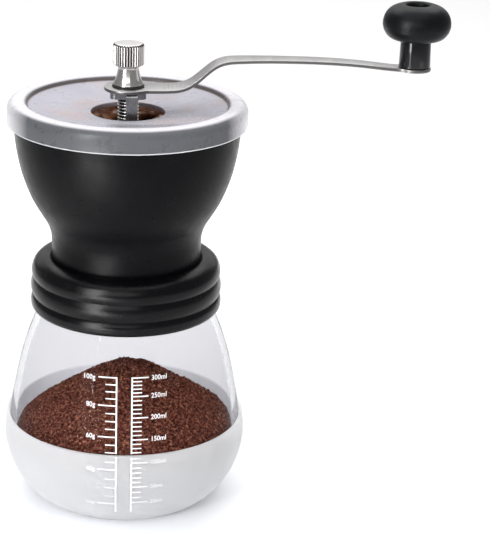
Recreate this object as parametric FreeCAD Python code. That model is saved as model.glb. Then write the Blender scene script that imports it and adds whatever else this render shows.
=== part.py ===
import FreeCAD, Part
import math
import os

from FreeCAD import Vector as V

# Hand crank coffee grinder. Millimetres, +Z up, origin on the floor at the
# centre of the base, the crank at rest along +X.

# ---------------------------------------------------------------- dimensions
GAP = 0.05                 # seat gap between stacked pieces
RUN = 0.05                 # radial running clearance of shafts in holes

# silicone base sleeve
base_wall = 1.3
base_gap = 0.15            # between the sleeve and the jar
base_flat_r = 27.0
base_profile = [(30.0, 0.45), (32.9, 1.6), (36.1, 3.8), (39.6, 7.2), (42.7, 11.9),
                (44.95, 17.1), (46.25, 22.0), (46.75, 25.9), (46.65, 29.6), (46.2, 34.3)]
base_rim_z = 34.75

# glass jar
jar_wall = 2.5
jar_upper = [(44.35, 38.2), (43.2, 44.8), (41.9, 51.2), (40.4, 57.8),
             (38.6, 64.0), (36.9, 69.0), (35.3, 72.9), (33.7, 76.4),
             (32.35, 79.0), (31.55, 80.6), (31.25, 81.7), (31.2, 82.6)]
neck_r = 31.2
neck_in_r = 28.7
jar_rim_z = 92.6

# jar thread: one start, right hand
jar_pitch = 4.0
thread_turns = 1.25
jar_thread_z = 83.2        # centre of the jar's ridge where it starts
jar_thread_r = 32.5
collar_thread_r = 31.9
ridge_base = 1.7
ridge_crest = 0.8

# seal ring
seal_in_r, seal_out_r = 28.9, 30.6
seal_z0, seal_z1 = jar_rim_z + GAP, 93.95

# grip collar
collar_bore_r = 33.3
collar_z0 = 77.8

# hopper
hop_wall = 2.3
hop_flange_z0, hop_flange_z1 = 94.0, 96.0
hop_flange_r = 30.6
waist_r = 28.5
hop_profile = [(28.5, 105.0), (28.8, 108.0), (29.45, 110.3), (30.45, 112.6),
               (31.55, 114.5), (33.8, 118.1), (36.15, 122.4), (38.0, 126.85),
               (39.55, 131.35), (40.6, 135.4), (41.4, 139.4), (42.0, 143.6),
               (42.4, 149.0), (42.6, 154.0), (42.6, 156.9)]
hop_top_z = 156.9
house_r, house_z0 = 25.2, 81.05
pocket_r, pocket_z1 = 22.6, 98.05
throat_r, throat_z = 17.5, 100.6
hub_r, hub_z0, hub_z1 = 8.5, 118.0, 140.0
hub_bore_r = 5.6
web_t, web_h = 4.0, 8.0

# lid
lid_r = 45.0
lid_z0, lid_z1 = 150.6, 159.0
lid_skirt_in_r = 43.2
lid_ceiling_z = 157.0
lid_wall_r = 39.2
lid_rim_in_r = 37.7
lid_panel_z = 157.2
lid_panel_t = 1.7
lid_dish = 2.4
lid_hole_r = 13.8
lid_plug_z = 152.8

# shaft
shaft_r = 4.0              # M8 x 1.25
shaft_pitch = 1.25
square_w = 6.2
stud_r = 2.95              # M6 x 1 at the top
foot_r = 2.45              # M5 at the foot
shaft_shoulder_z = 160.7
shaft_square_z = 164.42
shaft_top_z = 176.0
burr_shoulder_z = 106.3
burr_square_z = 88.0
shaft_foot_z = 80.6
key_flat_y = 3.3

# bush, thrust washer, adjusting nut
bush_out_r = hub_bore_r - GAP
bush_flange_r, bush_flange_t = 8.0, 1.1
washer_r = 7.5
washer_z0, washer_z1 = 141.2, 142.15
nut_r, nut_z0, nut_z1 = 6.8, 142.2, 150.0

# lock plate
lock_z0, lock_z1 = 160.75, 163.1
lock_w = 13.4
tab_w, tab_x, tab_in_y, tab_t, tab_z0 = 4.2, 1.4, 7.0, 1.5, 146.2

# crank arm
arm_t = 1.25
arm_eye_r = 9.0
arm_eye_z = 164.4          # top of the eye
arm_end_x, arm_end_r, arm_end_z = 106.5, 6.2, 173.6
arm_top = [(-12.0, 164.4), (-4.0, 164.4), (6.0, 164.4), (15.0, 164.5),
           (18.5, 164.8), (21.5, 165.7), (25.0, 168.0), (29.0, 171.5),
           (32.5, 174.0), (36.0, 175.25), (40.5, 175.7), (49.0, 175.95),
           (60.0, 176.0), (72.0, 175.8), (84.0, 175.15), (92.0, 174.4),
           (97.0, 173.88), (101.0, 173.62), (106.5, 173.6), (114.5, 173.6)]
arm_half = [(0.0, 6.4), (26.0, 5.7), (37.0, 5.0), (49.0, 4.35), (70.0, 3.95), (106.5, 3.6)]

# knob
axle_r, axle_head_r = 2.5, 3.8
knob_z0, sleeve_z1 = 173.75, 183.65
sleeve_recess_r, sleeve_recess_h = 4.5, 0.4
recess_r, recess_z = 4.2, 189.3

# burrs
burr_z0, burr_z1 = 86.0, 98.0
cone_z0, cone_z1 = 86.95, 106.2
cone_r0, cone_r1 = 17.0, 8.2
burr_gap = 0.75            # radial, at the coarse end of the setting
ring_r = 20.5
core_r = 6.0
spring_r, spring_wire, spring_turns = 6.2, 0.5, 4.5

# cap nut
cap_z0, cap_z1 = 165.05, 180.8
cap_knurls = 36


# ------------------------------------------------------------------- helpers
def pt(p):
    return V(p[0], 0, p[1])


def curve(points, t0=None, t1=None):
    b = Part.BSplineCurve()
    pts = [pt(p) for p in points]
    if t0 and t1:
        b.interpolate(Points=pts, InitialTangent=pt(t0), FinalTangent=pt(t1))
    else:
        b.interpolate(Points=pts)
    return b


def profile(start, *segs):
    """Closed (r, z) outline: ("L", p), ("A", mid, p) or ("S", points[, t0, t1])."""
    edges, cur = [], start
    for s in segs:
        if s[0] == "L":
            if abs(cur[0] - s[1][0]) + abs(cur[1] - s[1][1]) > 1e-9:
                edges.append(Part.LineSegment(pt(cur), pt(s[1])).toShape())
            cur = s[1]
        elif s[0] == "A":
            edges.append(Part.Arc(pt(cur), pt(s[1]), pt(s[2])).toShape())
            cur = s[2]
        else:
            pts = [cur] + list(s[1])
            t = s[2:] if len(s) > 2 else (None, None)
            edges.append(curve(pts, *t).toShape())
            cur = pts[-1]
    if abs(cur[0] - start[0]) + abs(cur[1] - start[1]) > 1e-9:
        edges.append(Part.LineSegment(pt(cur), pt(start)).toShape())
    return Part.Face(Part.Wire(edges))


def turned(start, *segs, at=(0, 0)):
    s = profile(start, *segs).revolve(V(0, 0, 0), V(0, 0, 1), 360)
    s.translate(V(at[0], at[1], 0))
    return s


def poly(points):
    return turned(points[0], *[("L", p) for p in points[1:]])


def cyl(r, z0, z1, x=0, y=0):
    return Part.makeCylinder(r, z1 - z0, V(x, y, z0))


def ring(r0, r1, z0, z1):
    return poly([(r0, z0), (r1, z0), (r1, z1), (r0, z1)])


def box(x0, x1, y0, y1, z0, z1):
    return Part.makeBox(x1 - x0, y1 - y0, z1 - z0, V(x0, y0, z0))


def offset(points, d):
    """Points moved to the left of the direction of travel by d."""
    out = []
    n = len(points)
    for i in range(n):
        a, b = points[max(i - 1, 0)], points[min(i + 1, n - 1)]
        tx, tz = b[0] - a[0], b[1] - a[1]
        k = math.hypot(tx, tz)
        out.append((points[i][0] - tz / k * d, points[i][1] + tx / k * d))
    return out


def sampled(c, n):
    u0, u1 = c.FirstParameter, c.LastParameter
    pts = [c.value(u0 + (u1 - u0) * i / (n - 1)) for i in range(n)]
    return [(p.x, p.z) for p in pts]


def around(shape, n, start=0.0):
    out = []
    for i in range(n):
        s = shape.copy()
        s.rotate(V(0, 0, 0), V(0, 0, 1), start + 360.0 * i / n)
        out.append(s)
    return out


def helix(r, z, turns, pitch):
    h = Part.makeHelix(pitch, pitch * turns, r)
    h.translate(V(0, 0, z))
    return h.Edges[0]


def ridge(r_root, r_crest, z, turns, pitch, base, crest):
    """Helical ridge of trapezium section between two radii."""
    lo0, hi0 = helix(r_root, z - base / 2, turns, pitch), helix(r_root, z + base / 2, turns, pitch)
    lo1, hi1 = helix(r_crest, z - crest / 2, turns, pitch), helix(r_crest, z + crest / 2, turns, pitch)
    faces = [Part.makeRuledSurface(a, b) for a, b in ((lo0, lo1), (lo1, hi1), (hi1, hi0), (hi0, lo0))]
    for end in (0, 1):
        p = [e.valueAt(e.FirstParameter if end == 0 else e.LastParameter) for e in (lo0, lo1, hi1, hi0)]
        faces.append(Part.Face(Part.makePolygon(p + [p[0]])))
    sh = Part.Shell([f for s in faces for f in s.Faces])
    sh.sewShape()
    sol = Part.Solid(Part.Shell(sh.Faces))
    if sol.Volume < 0:
        sol.reverse()
    return sol


def clean(s):
    s = s.removeSplitter()
    if len(s.Solids) == 1:
        s = s.Solids[0]
    return s


parts = {}

# ------------------------------------------------------- silicone base sleeve
base_out = curve([(base_flat_r, 0.0)] + base_profile)
base_pts = sampled(base_out, 22)
base_in = offset(base_pts, base_wall)
base_in[0] = (base_flat_r, base_wall)
rim_r = base_profile[-1][0]
parts["silicone_base"] = turned(
    (0, 0), ("L", (base_flat_r, 0)), ("S", base_pts[1:]),
    ("A", (rim_r - 0.55, base_rim_z), (base_in[-1][0], base_in[-1][1])),
    ("S", base_in[::-1][1:]), ("L", (0, base_wall)))

# ------------------------------------------------------------------ glass jar
jar_low = offset(base_pts, base_wall + base_gap)
jar_low[0] = (base_flat_r, base_wall + base_gap)
jar_out = jar_low[:-1] + jar_upper
jar_in = offset(jar_out, jar_wall)
jar_in[0] = (base_flat_r, jar_low[0][1] + jar_wall)
jar_in[-1] = (neck_in_r, jar_out[-1][1])
jar = turned(
    (0, jar_low[0][1]), ("L", jar_out[0]), ("S", jar_out[1:]),
    ("L", (neck_r, jar_rim_z - 1.0)),
    ("A", (neck_r - 0.293, jar_rim_z - 0.293), (neck_r - 1.0, jar_rim_z)),
    ("L", (neck_in_r + 1.0, jar_rim_z)),
    ("A", (neck_in_r + 0.293, jar_rim_z - 0.293), (neck_in_r, jar_rim_z - 1.0)),
    ("L", jar_in[-1]), ("S", jar_in[::-1][1:]),
    ("L", (0, jar_in[0][1])))
jar_ridge = ridge(neck_r - 0.4, jar_thread_r, jar_thread_z, thread_turns, jar_pitch,
                  ridge_base + 0.5, ridge_crest)
parts["jar"] = clean(jar.fuse(jar_ridge))

# ------------------------------------------------------------------ seal ring
parts["jar_seal"] = poly([
    (seal_in_r, seal_z0), (seal_out_r, seal_z0), (seal_out_r, seal_z1 - 0.3),
    (seal_out_r - 0.3, seal_z1), (seal_in_r + 0.3, seal_z1), (seal_in_r, seal_z1 - 0.3)])

# ---------------------------------------------------------------- grip collar
collar = turned(
    (34.6, collar_z0),
    ("A", (35.9, 78.5), (36.45, 80.2)), ("A", (36.4, 81.9), (35.6, 83.4)),
    ("A", (36.5, 86.9), (35.55, 90.4)), ("A", (36.15, 92.7), (35.6, 95.2)),
    ("S", [(34.6, 96.75), (33.0, 97.9), (31.2, 98.65), (29.7, 98.75), (waist_r + 0.15, 98.4)]),
    ("L", (waist_r + 0.15, hop_flange_z1 + GAP)),
    ("L", (collar_bore_r, hop_flange_z1 + GAP)), ("L", (collar_bore_r, 79.6)),
    ("L", (34.25, collar_z0 + 0.2)))
collar_ridge = ridge(collar_bore_r + 0.4, collar_thread_r, jar_thread_z - jar_pitch / 2,
                     thread_turns, jar_pitch, ridge_base + 0.5, ridge_crest)
parts["grip_collar"] = clean(collar.fuse(collar_ridge))

# ---------------------------------------------------------------- hopper body
hop_in = offset(hop_profile, hop_wall)
hop_in[-1] = (hop_profile[-1][0] - hop_wall, hop_top_z)
hop_in = [p for p in hop_in if p[1] > 109.5]
hopper = turned(
    (pocket_r, house_z0), ("L", (house_r - 0.6, house_z0)), ("L", (house_r, house_z0 + 0.6)),
    ("L", (house_r, hop_flange_z0)), ("L", (hop_flange_r, hop_flange_z0)),
    ("L", (hop_flange_r, hop_flange_z1)), ("L", (waist_r, hop_flange_z1)),
    ("L", hop_profile[0]), ("S", hop_profile[1:]),
    ("A", (hop_profile[-1][0] - hop_wall / 2, hop_top_z + 0.05), hop_in[-1]),
    ("S", hop_in[::-1][1:]), ("L", (throat_r, throat_z)),
    ("L", (throat_r, pocket_z1)), ("L", (pocket_r, pocket_z1)))
envelope = turned((0, 100), ("L", (waist_r - 1, 100)), ("L", (waist_r - 1, 105)),
                  ("S", [(r - 1.0, z) for r, z in hop_profile[1:]]), ("L", (0, hop_top_z)))
webs = None
for a in (90, 210, 330):
    w = box(0, 44, -web_t / 2, web_t / 2, hub_z0, hub_z0 + web_h)
    w = w.makeFillet(1.2, [e for e in w.Edges if abs(e.CenterOfMass.z - hub_z0 - web_h) < 1e-6
                           and abs(abs(e.CenterOfMass.y) - web_t / 2) < 1e-6])
    w.rotate(V(0, 0, 0), V(0, 0, 1), a)
    webs = w if webs is None else webs.fuse(w)
webs = webs.common(envelope)
hub = poly([(0, hub_z0), (hub_r - 0.8, hub_z0), (hub_r, hub_z0 + 0.8), (hub_r, hub_z1 - 1.0),
            (hub_r - 1.0, hub_z1), (0, hub_z1)])
hopper = hopper.fuse(webs).fuse(hub).cut(cyl(hub_bore_r, hub_z0 - 1, hub_z1 + 1))
parts["hopper_body"] = clean(hopper)

# ----------------------------------------------------------- bush and washers
parts["shaft_bush"] = poly([
    (shaft_r + RUN, hub_z0), (bush_out_r, hub_z0), (bush_out_r, hub_z1 + GAP),
    (bush_flange_r - 0.3, hub_z1 + GAP), (bush_flange_r, hub_z1 + GAP + 0.3),
    (bush_flange_r, hub_z1 + GAP + bush_flange_t), (shaft_r + RUN, hub_z1 + GAP + bush_flange_t)])

key = cyl(shaft_r + RUN, washer_z0 - 1, washer_z1 + 1).cut(
    box(-9, 9, key_flat_y + RUN, 9, washer_z0 - 2, washer_z1 + 2))
parts["thrust_washer"] = poly([
    (0, washer_z0), (washer_r, washer_z0), (washer_r, washer_z1 - 0.2),
    (washer_r - 0.2, washer_z1), (0, washer_z1)]).cut(key)

# --------------------------------------------------------------- drive shaft
sq = square_w / 2
shaft = poly([
    (0, shaft_foot_z), (foot_r - 0.4, shaft_foot_z), (foot_r, shaft_foot_z + 0.4), (foot_r, burr_square_z),
    (0, burr_square_z)])
shaft = shaft.fuse(box(-sq, sq, -sq, sq, burr_square_z, burr_shoulder_z).common(
    cyl(shaft_r - 0.2, burr_square_z - 1, burr_shoulder_z + 1)))
round_part = cyl(shaft_r, burr_shoulder_z, shaft_shoulder_z).cut(
    box(-9, 9, key_flat_y, 9, hub_z1 - 0.5, shaft_shoulder_z + 1))
shaft = shaft.fuse(round_part)
shaft = shaft.fuse(box(-sq, sq, -sq, sq, shaft_shoulder_z, shaft_square_z).common(
    cyl(shaft_r - 0.2, shaft_shoulder_z - 1, shaft_square_z + 1)))
shaft = shaft.fuse(poly([
    (0, shaft_square_z), (stud_r, shaft_square_z), (stud_r, shaft_top_z - 0.6),
    (stud_r - 0.6, shaft_top_z), (0, shaft_top_z)]))
parts["drive_shaft"] = clean(shaft)

# ------------------------------------------------------------- adjusting nut
nut = poly([(shaft_r + RUN, nut_z0), (nut_r - 0.5, nut_z0), (nut_r, nut_z0 + 0.5), (nut_r, nut_z1 - 0.6),
            (nut_r - 0.6, nut_z1), (shaft_r + RUN, nut_z1)])
notch = cyl(1.5, nut_z0 - 1, nut_z1 + 1, 0, -(nut_r + 0.55))
for n in around(notch, 8):
    nut = nut.cut(n)
parts["adjusting_nut"] = clean(nut)

# ---------------------------------------------------------------- lock plate
sqc = sq + GAP
hole = box(-sqc, sqc, -sqc, sqc, 155, 170)
plate = box(-lock_w / 2, lock_w / 2, -6.2, 6.2, lock_z0, lock_z1)
plate = plate.makeFillet(2.2, [e for e in plate.Edges if abs(e.CenterOfMass.z - (lock_z0 + lock_z1) / 2) < 1e-6])
tongue = box(tab_x - tab_w / 2, tab_x + tab_w / 2, -(tab_in_y + tab_t), -4.0, lock_z0, lock_z1)
tab = box(tab_x - tab_w / 2, tab_x + tab_w / 2, -(tab_in_y + tab_t), -tab_in_y, tab_z0, lock_z1)
tab = tab.makeFillet(0.9, [e for e in tab.Edges if abs(e.CenterOfMass.z - tab_z0) < 1e-6
                           and abs(abs(e.CenterOfMass.x - tab_x) - tab_w / 2) < 1e-6])
plate = clean(plate.fuse(tongue).fuse(tab))
bend = [e for e in plate.Edges if abs(e.CenterOfMass.z - lock_z1) < 1e-6
        and abs(e.CenterOfMass.y + tab_in_y + tab_t) < 1e-6]
plate = plate.makeFillet(1.3, bend)
parts["lock_plate"] = clean(plate.cut(hole))

# ----------------------------------------------------------------- crank arm
top = curve(arm_top, (1, 0), (1, 0))
top_pts = sampled(top, 70)
bot_pts = offset(top_pts, -arm_t)
bot = curve(bot_pts, (1, 0), (1, 0))
strip = Part.Face(Part.Wire([
    curve(top_pts, (1, 0), (1, 0)).toShape(),
    Part.LineSegment(pt(top_pts[-1]), pt(bot_pts[-1])).toShape(),
    bot.toShape(),
    Part.LineSegment(pt(bot_pts[0]), pt(top_pts[0])).toShape()]))
strip.translate(V(0, -15, 0))
strip = strip.extrude(V(0, 30, 0))
edge = [V(x, -w, 155) for x, w in arm_half] + [V(x, w, 155) for x, w in arm_half[::-1]]
taper = Part.Face(Part.makePolygon(edge + edge[:1])).extrude(V(0, 0, 30))
plan = clean(cyl(arm_eye_r, 155, 185).fuse(taper).fuse(cyl(arm_end_r, 155, 185, arm_end_x)))
inner = [e for e in plan.Edges if abs(e.CenterOfMass.z - 170) < 1e-6 and len(e.Vertexes) == 2
         and ((5.5 < e.CenterOfMass.x < 8.0) or (arm_end_x - 6 < e.CenterOfMass.x < arm_end_x - 2))
         and abs(e.CenterOfMass.y) > 3]
plan = plan.makeFillet(5.0, inner)
arm_low = arm_end_z - arm_t
rivet_hole = turned(
    (0, arm_low - 2), ("L", (axle_head_r + 0.06, arm_low - 2)), ("L", (axle_head_r + 0.06, arm_low + 0.22)),
    ("L", (axle_r + GAP, arm_low + 1.3)), ("L", (axle_r + GAP, arm_low + 5)), ("L", (0, arm_low + 5)),
    at=(arm_end_x, 0))
arm = strip.common(plan).cut(hole).cut(rivet_hole)
parts["crank_arm"] = clean(arm)

# ---------------------------------------------------------------------- knob
X = (arm_end_x, 0)
axle = turned(
    (0, arm_low), ("L", (axle_head_r, arm_low)), ("L", (axle_head_r, arm_low + 0.2)),
    ("L", (axle_r, arm_low + 1.25)), ("L", (axle_r, recess_z + GAP)), ("L", (axle_head_r, recess_z + GAP)),
    ("L", (axle_head_r, recess_z + 1.2)), ("A", (axle_head_r - 0.6, recess_z + 1.9), (2.2, recess_z + 2.1)),
    ("L", (0, recess_z + 2.1)), at=X)
slot = box(arm_end_x - 5, arm_end_x + 5, -0.45, 0.45, recess_z + 1.4, recess_z + 3)
parts["knob_axle"] = clean(axle.cut(slot))

parts["knob_washer"] = turned(
    (axle_r + GAP, arm_end_z + GAP), ("L", (sleeve_recess_r - 0.2, arm_end_z + GAP)),
    ("L", (sleeve_recess_r - 0.2, knob_z0 + sleeve_recess_h - GAP)),
    ("L", (axle_r + GAP, knob_z0 + sleeve_recess_h - GAP)), at=X)

parts["knob_sleeve"] = turned(
    (axle_r + RUN, knob_z0 + sleeve_recess_h), ("L", (sleeve_recess_r, knob_z0 + sleeve_recess_h)),
    ("L", (sleeve_recess_r, knob_z0)), ("L", (5.4, knob_z0)), ("A", (5.75, knob_z0 + 0.15), (5.9, knob_z0 + 0.5)),
    ("L", (5.65, sleeve_z1)), ("L", (4.0, sleeve_z1)), ("L", (4.0, sleeve_z1 + 2.4)),
    ("L", (axle_r + RUN, sleeve_z1 + 2.4)), at=X)

hz = sleeve_z1 + GAP
parts["knob_head"] = turned(
    (4.0 + GAP, hz), ("L", (6.4, hz)), ("A", (6.75, hz + 0.12), (7.2, hz + 0.2)),
    ("S", [(9.4, 184.5), (11.15, 185.85), (12.25, 187.7), (12.7, 189.8), (12.5, 191.7), (11.6, 193.9),
           (9.8, 195.75), (7.5, 196.85), (5.7, 197.25)]),
    ("A", (4.9, 197.15), (recess_r, 196.55)), ("L", (recess_r, recess_z)), ("L", (axle_r + RUN, recess_z)),
    ("L", (axle_r + RUN, sleeve_z1 + 2.4 + GAP)), ("L", (4.0 + GAP, sleeve_z1 + 2.4 + GAP)), at=X)

# --------------------------------------------------------------- cap nut set
parts["cap_washer"] = poly([
    (stud_r + 0.15, arm_eye_z + GAP), (6.0, arm_eye_z + GAP), (6.0, cap_z0 - 0.15),
    (5.85, cap_z0 - GAP), (stud_r + 0.15, cap_z0 - GAP)])

cap = turned(
    (stud_r + RUN, cap_z0), ("L", (5.3, cap_z0)), ("A", (5.5, cap_z0 + 0.1), (5.58, cap_z0 + 0.4)),
    ("S", [(4.95, 166.8), (4.4, 168.8), (4.05, 170.8), (3.95, 171.9)]),
    ("A", (4.25, 172.35), (4.9, 172.5)), ("L", (5.2, 172.5)), ("L", (5.8, 173.1)), ("L", (5.8, 179.9)),
    ("L", (5.1, cap_z1)), ("L", (0, cap_z1)), ("L", (0, 177.2)), ("L", (stud_r + RUN, 176.4)))
groove = Part.makeCylinder(0.34, 8.2, V(0, -5.98, 172.55))
cap = cap.cut(Part.makeCompound(around(groove, cap_knurls)))
parts["cap_nut"] = clean(cap)

# -------------------------------------------------------------------- lid
lid_in_z = lid_panel_z - lid_dish
parts["hopper_lid"] = turned(
    (lid_skirt_in_r, lid_z0), ("L", (lid_r - 0.4, lid_z0)), ("L", (lid_r, lid_z0 + 0.4)),
    ("L", (lid_r, 155.4)), ("S", [(44.6, 157.2), (43.6, 158.4), (42.1, 159.0)], (0, 1), (-1, 0.08)),
    ("L", (39.3, lid_z1)),
    ("A", (38.35, 158.72), (lid_rim_in_r, 158.0)), ("L", (lid_rim_in_r - 0.12, lid_panel_z + 0.45)),
    ("A", (lid_rim_in_r - 0.28, lid_panel_z + 0.12), (lid_rim_in_r - 0.7, lid_panel_z - 0.03)),
    ("L", (lid_hole_r + 0.4, lid_in_z)), ("L", (lid_hole_r, lid_in_z - 0.4)),
    ("L", (lid_hole_r, lid_in_z - lid_panel_t)),
    ("L", (lid_wall_r - 2.2, lid_panel_z - lid_panel_t)), ("L", (lid_wall_r - 1.8, lid_plug_z + 0.3)),
    ("L", (lid_wall_r - 1.5, lid_plug_z)), ("L", (lid_wall_r - 0.4, lid_plug_z)),
    ("L", (lid_wall_r, lid_plug_z + 0.4)), ("L", (lid_wall_r, lid_ceiling_z + 0.1)),
    ("L", (lid_skirt_in_r - 0.5, lid_ceiling_z + 0.1)), ("L", (lid_skirt_in_r, lid_ceiling_z - 0.5)))

# --------------------------------------------------------------------- burrs
slope = (cone_r0 - cone_r1) / (cone_z1 - cone_z0)


def cone_at(z):
    return cone_r0 - slope * (z - cone_z0)


outer = poly([
    (cone_at(burr_z0) + burr_gap, burr_z0), (ring_r, burr_z0), (ring_r, burr_z1), (16.6, burr_z1),
    (cone_at(94.5) + burr_gap, 94.5)])
flute = Part.makeCylinder(1.1, 20, V(0, 0, -10))
flute.rotate(V(0, 0, 0), V(1, 0, 0), math.degrees(math.atan(slope)))
flute.rotate(V(0, 0, 0), V(0, 1, 0), 18)
flute.translate(V(0, -(cone_at(91.5) + burr_gap + 0.25), 91.5))
for f in around(flute, 18):
    outer = outer.cut(f)
parts["outer_burr"] = clean(outer)

parts["burr_gasket"] = ring(ring_r + GAP, pocket_r - GAP, burr_z0, burr_z1)

retainer = poly([
    (18.4, 79.2), (24.6, 79.2), (25.2, 79.8), (25.2, house_z0 - GAP), (pocket_r - 0.1, house_z0 - GAP),
    (pocket_r - 0.1, burr_z0 - GAP), (18.4, burr_z0 - GAP)])
grip = cyl(1.6, 78, house_z0 - GAP - 0.4, 0, -25.6)
for g in around(grip, 12):
    retainer = retainer.cut(g)
parts["burr_retainer"] = clean(retainer)

inner_b = poly([
    (core_r + GAP, cone_z0), (cone_r0 - 0.5, cone_z0), (cone_r0 - 0.15, cone_z0 + 0.35),
    (cone_r1 + 0.1, cone_z1 - 0.2), (cone_r1 - 0.1, cone_z1), (core_r + GAP, cone_z1)])
cut1 = Part.makeCylinder(1.5, 34, V(0, 0, -17))
cut1.rotate(V(0, 0, 0), V(1, 0, 0), math.degrees(math.atan(slope)) + 3.5)
cut1.rotate(V(0, 0, 0), V(0, 1, 0), -24)
cut1.translate(V(0, -(cone_at(98.0) + 0.95), 98.0))
for c in around(cut1, 8):
    inner_b = inner_b.cut(c)
cut2 = Part.makeCylinder(0.6, 8, V(0, 0, -4))
cut2.rotate(V(0, 0, 0), V(1, 0, 0), math.degrees(math.atan(slope)))
cut2.rotate(V(0, 0, 0), V(0, 1, 0), -18)
cut2.translate(V(0, -(cone_at(89.6) + 0.2), 89.6))
for c in around(cut2, 28, 4.0):
    inner_b = inner_b.cut(c)
rib_slot = box(-8.6, 8.6, -1.55, 1.55, cone_z0 - 1, 97.05)
parts["inner_burr"] = clean(inner_b.cut(rib_slot))

core = cyl(core_r, cone_z0, burr_shoulder_z - GAP).fuse(box(-8.5, 8.5, -1.5, 1.5, cone_z0, 97.0))
parts["burr_driver"] = clean(core.cut(box(-sqc, sqc, -sqc, sqc, cone_z0 - 1, burr_shoulder_z + 1)))

parts["spring_seat"] = poly([
    (shaft_r + 0.1, burr_shoulder_z), (7.6, burr_shoulder_z), (7.6, burr_shoulder_z + 1.4), (7.1, burr_shoulder_z + 1.4),
    (7.1, burr_shoulder_z + 0.8), (shaft_r + 0.1, burr_shoulder_z + 0.8)])

sz0 = burr_shoulder_z + 0.8 + spring_wire + 0.05
sz1 = hub_z0 - spring_wire - 0.1
hx = Part.makeHelix((sz1 - sz0) / spring_turns, sz1 - sz0, spring_r)
hx.translate(V(0, 0, sz0))
wire_section = Part.Wire([Part.makeCircle(spring_wire, V(spring_r, 0, sz0), V(0, 1, 0))])
parts["burr_spring"] = Part.Wire(hx.Edges).makePipeShell([wire_section], True, True)

parts["burr_washer"] = ring(foot_r + 0.15, 9.0, cone_z0 - 1.05, cone_z0 - GAP)

nut_top = cone_z0 - 1.1
hexnut = Part.Face(Part.makePolygon([
    V(4.6 * math.cos(math.radians(60 * i)), 4.6 * math.sin(math.radians(60 * i)), nut_top - 4.0)
    for i in range(7)])).extrude(V(0, 0, 4.0))
hexnut = hexnut.common(poly([(0, nut_top - 4.0), (4.05, nut_top - 4.0), (4.7, nut_top - 3.5), (4.7, nut_top - 0.5),
                             (4.05, nut_top), (0, nut_top)]))
parts["burr_nut"] = clean(hexnut.cut(cyl(foot_r + GAP, nut_top - 5, nut_top + 1)))

# ------------------------------------------------------------------- output
os.makedirs("parts", exist_ok=True)
for name, shape in parts.items():
    if not shape.isValid() or len(shape.Solids) != 1:
        print("CHECK", name, "valid", shape.isValid(), "solids", len(shape.Solids))
    shape.exportStep("parts/%s.step" % name)
    b = shape.BoundBox
    print("%-14s vol %9.1f  x %.2f..%.2f  y %.2f..%.2f  z %.2f..%.2f" % (
        name, shape.Volume, b.XMin, b.XMax, b.YMin, b.YMax, b.ZMin, b.ZMax))
print(len(parts), "nodes")
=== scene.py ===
import math
import random

import bmesh
import bpy
import numpy as np
from mathutils import Matrix, Vector


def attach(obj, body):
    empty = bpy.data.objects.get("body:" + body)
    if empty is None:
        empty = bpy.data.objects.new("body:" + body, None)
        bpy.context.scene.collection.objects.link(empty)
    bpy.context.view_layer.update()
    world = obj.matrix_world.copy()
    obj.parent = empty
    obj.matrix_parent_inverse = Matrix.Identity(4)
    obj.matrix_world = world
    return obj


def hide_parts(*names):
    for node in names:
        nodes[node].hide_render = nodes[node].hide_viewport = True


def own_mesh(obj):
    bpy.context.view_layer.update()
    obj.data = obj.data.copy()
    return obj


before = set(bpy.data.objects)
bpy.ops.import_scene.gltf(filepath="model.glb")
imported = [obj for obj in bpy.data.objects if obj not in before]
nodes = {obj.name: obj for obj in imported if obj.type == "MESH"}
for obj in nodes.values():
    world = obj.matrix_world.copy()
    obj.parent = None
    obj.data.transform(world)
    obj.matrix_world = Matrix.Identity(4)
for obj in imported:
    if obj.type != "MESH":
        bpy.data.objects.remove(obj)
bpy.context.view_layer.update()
scene = bpy.context.scene
MM = 0.001
TAU = 2 * math.pi

# ------------------------------------------------------------ camera and light
CAM_F = 1900.0 / 548.0 * 36.0
CAM_AT = Vector((0.0, -0.68887, 0.33864))
PITCH, YAW, ROLL = 0.3448, 0.0663, 0.0330

fwd = Vector((math.sin(YAW) * math.cos(PITCH), math.cos(YAW) * math.cos(PITCH), -math.sin(PITCH)))
right = Vector((math.cos(YAW), -math.sin(YAW), 0.0))
up = right.cross(fwd)
r2 = right * math.cos(ROLL) + up * math.sin(ROLL)
u2 = up * math.cos(ROLL) - right * math.sin(ROLL)
cam_data = bpy.data.cameras.new("camera")
cam_data.sensor_width = 36.0
cam_data.lens = CAM_F
cam_data.clip_start = 0.01
cam = bpy.data.objects.new("camera", cam_data)
scene.collection.objects.link(cam)
m = Matrix((r2, u2, -fwd)).transposed().to_4x4()
m.translation = CAM_AT
cam.matrix_world = m
scene.camera = cam

scene.view_settings.view_transform = "Standard"
scene.view_settings.look = "None"

world = bpy.data.worlds.new("world")
scene.world = world
world.use_nodes = True
bg = world.node_tree.nodes["Background"]
bg.inputs["Color"].default_value = (1.0, 1.0, 1.0, 1.0)
bg.inputs["Strength"].default_value = 0.27
# the far background, past the floor's edge, is as pale as the floor there
far = world.node_tree.nodes.new("ShaderNodeBackground")
far.inputs["Color"].default_value = (1.0, 1.0, 1.0, 1.0)
far.inputs["Strength"].default_value = 0.50
seen = world.node_tree.nodes.new("ShaderNodeLightPath")
pick = world.node_tree.nodes.new("ShaderNodeMixShader")
world.node_tree.links.new(seen.outputs["Is Camera Ray"], pick.inputs["Fac"])
world.node_tree.links.new(bg.outputs["Background"], pick.inputs[1])
world.node_tree.links.new(far.outputs["Background"], pick.inputs[2])
world.node_tree.links.new(pick.outputs["Shader"], world.node_tree.nodes["World Output"].inputs["Surface"])


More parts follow.
